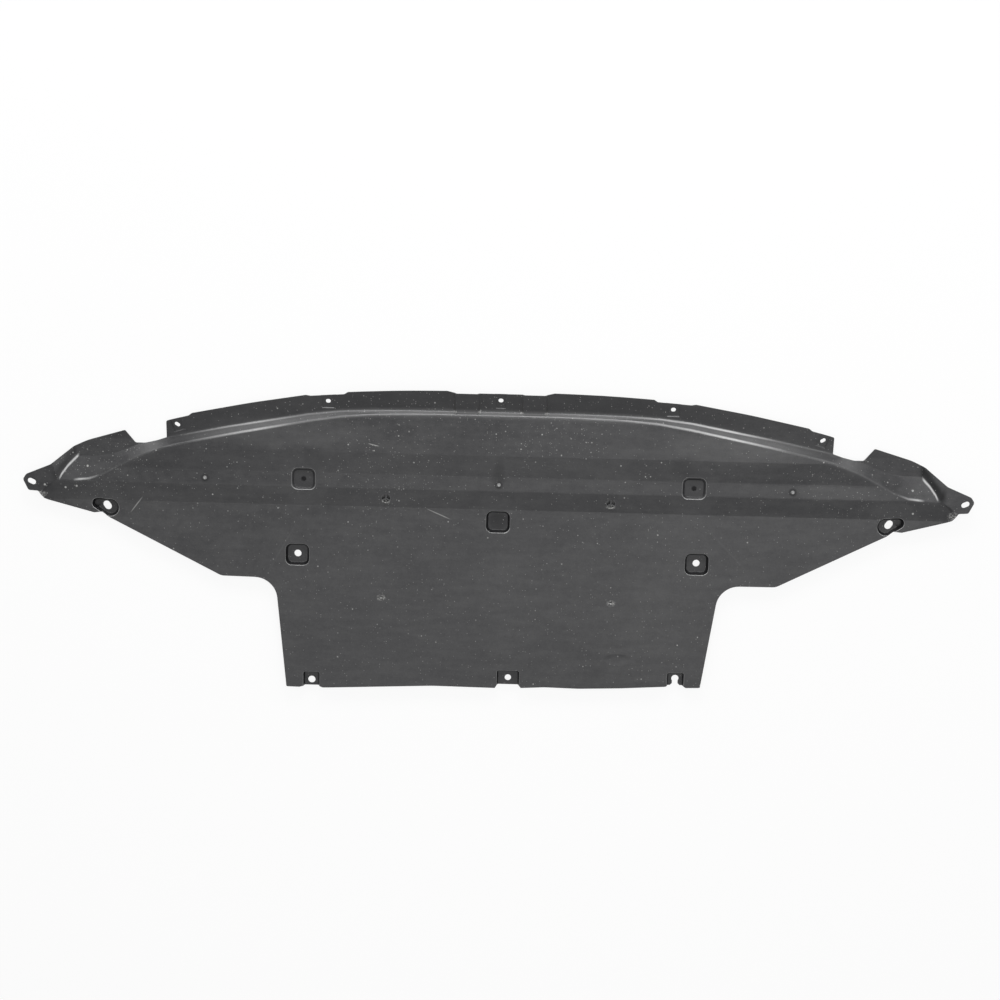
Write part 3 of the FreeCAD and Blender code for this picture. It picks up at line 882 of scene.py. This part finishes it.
    def lightening(self, at: SheetPoint, clouds: Wire, fine: Wire, mottle: Wire) -> Wire:
        """How far the plastic is lightened, by abrasion, random tone, creases and the painted
        light of the pale patches.

        Args:
            at: the point of the sheet.
            clouds: wire of the broad clouds.
            fine: wire of the fine noise.
            mottle: wire of the mottling.

        Returns:
            The wire of the lightening.
        """
        stretched = at.bench.stretched(at.place, self.streak_scale, self.streak_turn)
        streaks = self.streaks.spread(at.bench, stretched)
        wear_and_light = self.wear_and_light
        broad = wear_and_light.clouds * clouds.band(*wear_and_light.cloud_band)
        broad = broad + wear_and_light.streaks * streaks.band(*wear_and_light.streak_band) + wear_and_light.start
        broad = broad + wear_and_light.fine * (fine - 0.5) + wear_and_light.mottle * (mottle - 0.5)
        # The pale patches are painted light.
        broad = broad + wear_and_light.pale * self.gathered(at, self.pale)
        return broad + wear_and_light.creases * self.gathered(at, self.creases)

    def pockets(self, at: SheetPoint) -> Wire:
        """Mask of the places round the pockets and tabs.

        Args:
            at: the point of the sheet.

        Returns:
            The wire of the mask.
        """
        places = tuple(Patch(middle, (reach, reach), 1.0) for middle, reach in POCKETS)
        return self.gathered(at, places).band(0.0, POCKET_EDGE)

    def above_rim(self, at: SheetPoint) -> Wire:
        """Height of a point over the level of the pockets' rounded rims.

        Args:
            at: the point of the sheet.

        Returns:
            The wire of the height, below nought inside a pocket.
        """
        return at.z - at.bench.through(at.y, self.rim_level)

    def shaded(self, at: SheetPoint, pockets: Wire) -> Wire:
        """How far the colour is darkened, apart from the steep walls: painted shade, and the dark
        rings round the stubs.

        Args:
            at: the point of the sheet.
            pockets: wire of the mask round the pockets.

        Returns:
            The wire of the shade.
        """
        shade = self.shade
        flange = FOOT.ahead(at).band(*shade.flange_edge)
        behind = (0.0 - CREST.ahead(at)).band(*shade.swage_edge)
        # Painted shade on the patches, the ears' walls, the flange, the pocket floors and the
        # swages' slopes, and the dark stub rings.
        return at.bench.highest(
            self.gathered(at, (*self.painted_shade_patches, self.ear_wall)),
            shade.rings * self.gathered(at, tuple(stub.dark() for stub in self.stubs)),
            at.bench.through(at.x, shade.flange) * flange,
            shade.sunk * (self.above_rim(at).band(*shade.sunk_edge) * pockets),
            shade.swages * (at.upright.band(*shade.swage) * behind),
        )

    def steep(self, at: SheetPoint) -> Wire:
        """Mask of the steep walls that are given painted shade, apart from those of the flange and
        of shallow pockets.

        Args:
            at: the point of the sheet.

        Returns:
            The wire of the mask.
        """
        flange = at.y.band(*self.light_paint.flange_y)
        shallow = self.gathered(at, self.shallow)
        return at.upright.band(*self.shade.steep) * (1.0 - flange) * (1.0 - shallow)

    def painted_highlights(self, at: SheetPoint, pockets: Wire, fine: Wire) -> Wire:
        """Mask of the painted highlights on the folds, the pockets' rims, the pads' edges and the
        scuffed stub tips.

        Args:
            at: the point of the sheet.
            pockets: wire of the mask round the pockets.
            fine: wire of the fine noise.

        Returns:
            The wire of the mask.
        """
        light_paint = self.light_paint
        # Painted highlights on the pockets' rims, the pads' edges, the folds and the stub tips.
        rim = at.upright.band(*light_paint.level_end) * at.upright.band(*light_paint.wall_end)
        rim = rim * self.above_rim(at).band(*light_paint.rim_edge) * pockets
        rim = rim * (light_paint.rim + light_paint.front_rim * at.bench.highest(at.forward, 0.0))
        pads = at.upright.band(*light_paint.pad) * at.y.band(*light_paint.flange_y)
        pads = pads * (light_paint.pads + light_paint.pad_feet * at.y.band(*light_paint.pad_foot))
        folds = self.gathered(at, self.folds) * (light_paint.folds + light_paint.fold_noise * fine)
        tips = light_paint.tips * self.gathered(at, tuple(stub.pale() for stub in self.stubs))
        return at.bench.highest(folds, rim, pads, tips)

    def build(self) -> bpy.types.Material:
        """Makes the material.

        Returns:
            The finished material.
        """
        material = bpy.data.materials.new("satin_moulded_plastic")
        material.use_nodes = True
        bench = Bench(material.node_tree)
        at = SheetPoint.on(bench)
        clouds, fine, mottle, grain = (
            noise.spread(bench, at.place)
            for noise in (self.clouds, self.fine, self.mottle, self.grain)
        )
        dirt_and_glints = self.dirt_and_glints(at, fine)
        pockets = self.pockets(at)
        shaded = self.shaded(at, pockets)

        # Plastic lightened by abrasion and random tone, and by the painted light of the pale
        # patches.
        plain = bench.blend(self.lightening(at, clouds, fine, mottle), self.base, self.palest_colour)
        # Painted shade, with the steep walls darkest.
        dark = bench.highest(self.shade.colour * shaded, self.steep(at))
        # Specks, scuffs and scratch marks over the shaded plastic, with painted glints at the
        # bridges' corners.
        colour = bench.blend(dirt_and_glints, bench.blend(dark, plain, self.shade_colour), self.dirt_and_glint_colour)
        # Painted highlights, in a pale grey.
        colour = bench.blend(self.painted_highlights(at, pockets, fine), colour, self.highlight_colour)

        rough = self.gloss + self.cloud_gloss * (clouds - 0.5) + self.dust_gloss * dirt_and_glints
        rough = rough + self.shade.rough * shaded + self.mottle_gloss * (mottle - 0.5)
        height = grain * self.grain_depth - self.dent_depth * self.gathered(at, self.dents)
        normal = bench.node(
            "ShaderNodeBump", None, {"Strength": 1.0, "Distance": 1.0, "Height": height}
        )
        surface = bench.node(
            "ShaderNodeBsdfPrincipled",
            None,
            {
                "Base Color": colour,
                "Roughness": rough,
                "Normal": normal,
                "IOR": self.index,
                "Coat Weight": self.coat * (1.0 - shaded),
                "Coat Roughness": self.coat_rough,
            },
        )
        bench.node("ShaderNodeOutputMaterial", None, {"Surface": surface})
        return material


@dataclass(frozen=True)
class WhitePaper:
    """Finish of the white floor, which keeps the shield's shadow.

    Attributes:
        colour: colour of the floor.
        glow: how much of it is seen as plain white.
    """

    colour: Colour = (0.86, 0.86, 0.86)
    glow: float = 0.88

    def build(self) -> bpy.types.Material:
        """Makes the material.

        Returns:
            The finished material.
        """
        material = bpy.data.materials.new("white_floor")
        material.use_nodes = True
        bench = Bench(material.node_tree)
        rays = [
            bench.node("ShaderNodeLightPath", output=name)
            for name in ("Is Camera Ray", "Is Glossy Ray", "Is Transmission Ray")
        ]
        seen = bench.highest(*rays)
        paper = bench.node("ShaderNodeBsdfDiffuse", None, {"Color": (*self.colour, 1.0)})
        white = bench.node(
            "ShaderNodeEmission", None, {"Color": (1.0, 1.0, 1.0, 1.0), "Strength": 1.0}
        )
        surface = bench.node(
            "ShaderNodeMixShader", None, {0: seen * self.glow, 1: paper, 2: white}
        )
        bench.node("ShaderNodeOutputMaterial", None, {"Surface": surface})
        return material


@dataclass
class SplashShield:
    """The one moulded sheet of the shield.

    Attributes:
        node: name of its solid in the frame.
        finish: its plastic.
    """

    node: str = "splash_shield"
    finish: MouldedPlastic = field(default_factory=MouldedPlastic)

    def dress(self, nodes: Mapping[str, bpy.types.Object]) -> bpy.types.Object:
        """Gives the solid its finish.

        Args:
            nodes: the frame's solids by name.

        Returns:
            The dressed solid.
        """
        sheet = nodes[self.node]
        material = self.finish.build()
        sheet.data.materials.clear()
        sheet.data.materials.append(material)
        LOG.info("dressed %s with %s", sheet.name, material.name)
        return sheet


@dataclass
class Floor:
    """Wide white floor under the shield.

    Attributes:
        half: half its width.
        drop: how far it lies under the shield's lowest point.
        finish: its paper.
    """

    half: float = 25.0
    drop: float = 0.0004
    finish: WhitePaper = field(default_factory=WhitePaper)

    def build(self) -> bpy.types.Object:
        """Makes the floor.

        Returns:
            The floor.
        """
        mesh = bpy.data.meshes.new("floor")
        half, level = self.half, -self.drop
        corners = [(-half, -half, level), (half, -half, level), (half, half, level)]
        corners.append((-half, half, level))
        mesh.from_pydata(corners, [], [(0, 1, 2, 3)])
        mesh.materials.append(self.finish.build())
        floor = bpy.data.objects.new("floor", mesh)
        bpy.context.scene.collection.objects.link(floor)
        LOG.info("laid the floor")
        return floor


@dataclass(frozen=True)
class SoftBox:
    """One large soft lamp.

    Attributes:
        name: its name.
        place: where it hangs.
        aim: the point it faces.
        size: width and height.
        power: watts.
        colour: colour of its light.
    """

    name: str
    place: Point
    aim: Point
    size: Tuple[float, float]
    power: float
    colour: Colour = (1.0, 1.0, 1.0)

    def build(self) -> bpy.types.Object:
        """Hangs the lamp.

        Returns:
            The lamp.
        """
        lamp = bpy.data.lights.new(self.name, "AREA")
        lamp.shape = "RECTANGLE"
        lamp.size, lamp.size_y = self.size
        lamp.energy = self.power
        lamp.color = self.colour
        hung = bpy.data.objects.new(self.name, lamp)
        hung.location = self.place
        facing = Vector(self.aim) - Vector(self.place)
        hung.rotation_mode = "QUATERNION"
        hung.rotation_quaternion = facing.to_track_quat("-Z", "Y")
        bpy.context.scene.collection.objects.link(hung)
        LOG.info("hung %s", self.name)
        return hung


@dataclass
class Studio:
    """Lamps and the even light from all round.

    Attributes:
        boxes: the soft lamps.
        around: strength of the even light.
        tint: its colour.
    """

    boxes: Tuple[SoftBox, ...] = (
        SoftBox("front_low", (0.0, 3.1, 1.45), (0.0, 0.0, 0.0), (1.8, 0.9), 55.0),
        SoftBox("left_low", (-2.0, 2.4, 1.3), (0.0, 0.0, 0.0), (0.9, 0.9), 14.0),
        SoftBox("right_low", (2.0, 2.4, 1.3), (0.0, 0.0, 0.0), (0.9, 0.9), 11.0),
        SoftBox("upper_left", (-0.85, 0.95, 3.0), (-0.4, 0.1, 0.0), (0.45, 0.6), 9.0),
        SoftBox("upper_right", (0.95, 0.95, 3.0), (0.4, 0.1, 0.0), (0.5, 0.6), 18.0),
        SoftBox("overhead", (0.35, -0.85, 3.1), (0.0, 0.0, 0.0), (3.6, 1.05), 14.0),
    )
    around: float = 0.42
    tint: Colour = (1.0, 1.0, 1.0)

    def build(self) -> None:
        """Hangs the lamps and sets the even light."""
        for box in self.boxes:
            box.build()
        world = bpy.data.worlds.new("even_light")
        world.use_nodes = True
        bench = Bench(world.node_tree)
        light = bench.node(
            "ShaderNodeBackground", None, {"Color": (*self.tint, 1.0), "Strength": self.around}
        )
        bench.node("ShaderNodeOutputWorld", None, {"Surface": light})
        bpy.context.scene.world = world
        LOG.info("set the even light")


@dataclass
class PhotoCamera:
    """Camera that stands where the photographer's did.

    Attributes:
        target: the point in the middle of the picture.
        distance: how far away the camera stands.
        tilt: lean from straight above, towards the shield's front, in degrees.
        roll: turn of the picture in degrees.
        focal_share: focal length over the picture's width.
        sensor: sensor width in millimetres.
        near: nearest distance that it sees.
        far: farthest distance that it sees.
    """

    target: Point = (0.0026, 0.0815, 0.0195)
    distance: float = 3.0
    tilt: float = 13.0
    roll: float = 1.46
    focal_share: float = 1.734
    sensor: float = 36.0
    near: float = 0.05
    far: float = 200.0

    def build(self) -> bpy.types.Object:
        """Sets up the camera.

        Returns:
            The camera.
        """
        lean, turn = math.radians(self.tilt), math.radians(self.roll)
        back = Vector((0.0, math.sin(lean), math.cos(lean)))
        level = Vector((1.0, 0.0, 0.0))
        upright = Vector((0.0, math.cos(lean), -math.sin(lean)))
        right = level * math.cos(turn) + upright * math.sin(turn)
        up = upright * math.cos(turn) - level * math.sin(turn)
        lens = bpy.data.cameras.new("photo_camera")
        lens.sensor_width = self.sensor
        lens.lens = self.focal_share * self.sensor
        lens.clip_start, lens.clip_end = self.near, self.far
        camera = bpy.data.objects.new("photo_camera", lens)
        turned = Matrix((right, up, back)).transposed().to_4x4()
        stand = Vector(self.target) + back * self.distance
        camera.matrix_world = Matrix.Translation(stand) @ turned
        bpy.context.scene.collection.objects.link(camera)
        bpy.context.scene.camera = camera
        LOG.info("set the camera %.2f m away", self.distance)
        return camera


def main() -> None:
    """Builds the scene in order."""
    logging.basicConfig(level=logging.INFO, format="%(name)s: %(message)s")
    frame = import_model()
    PhotoCamera().build()
    SplashShield().dress(frame["nodes"])
    Floor().build()
    Studio().build()
    bpy.context.scene.view_settings.view_transform = "Standard"
    LOG.info("noted the sizes")


if __name__ == "__main__":
    main()
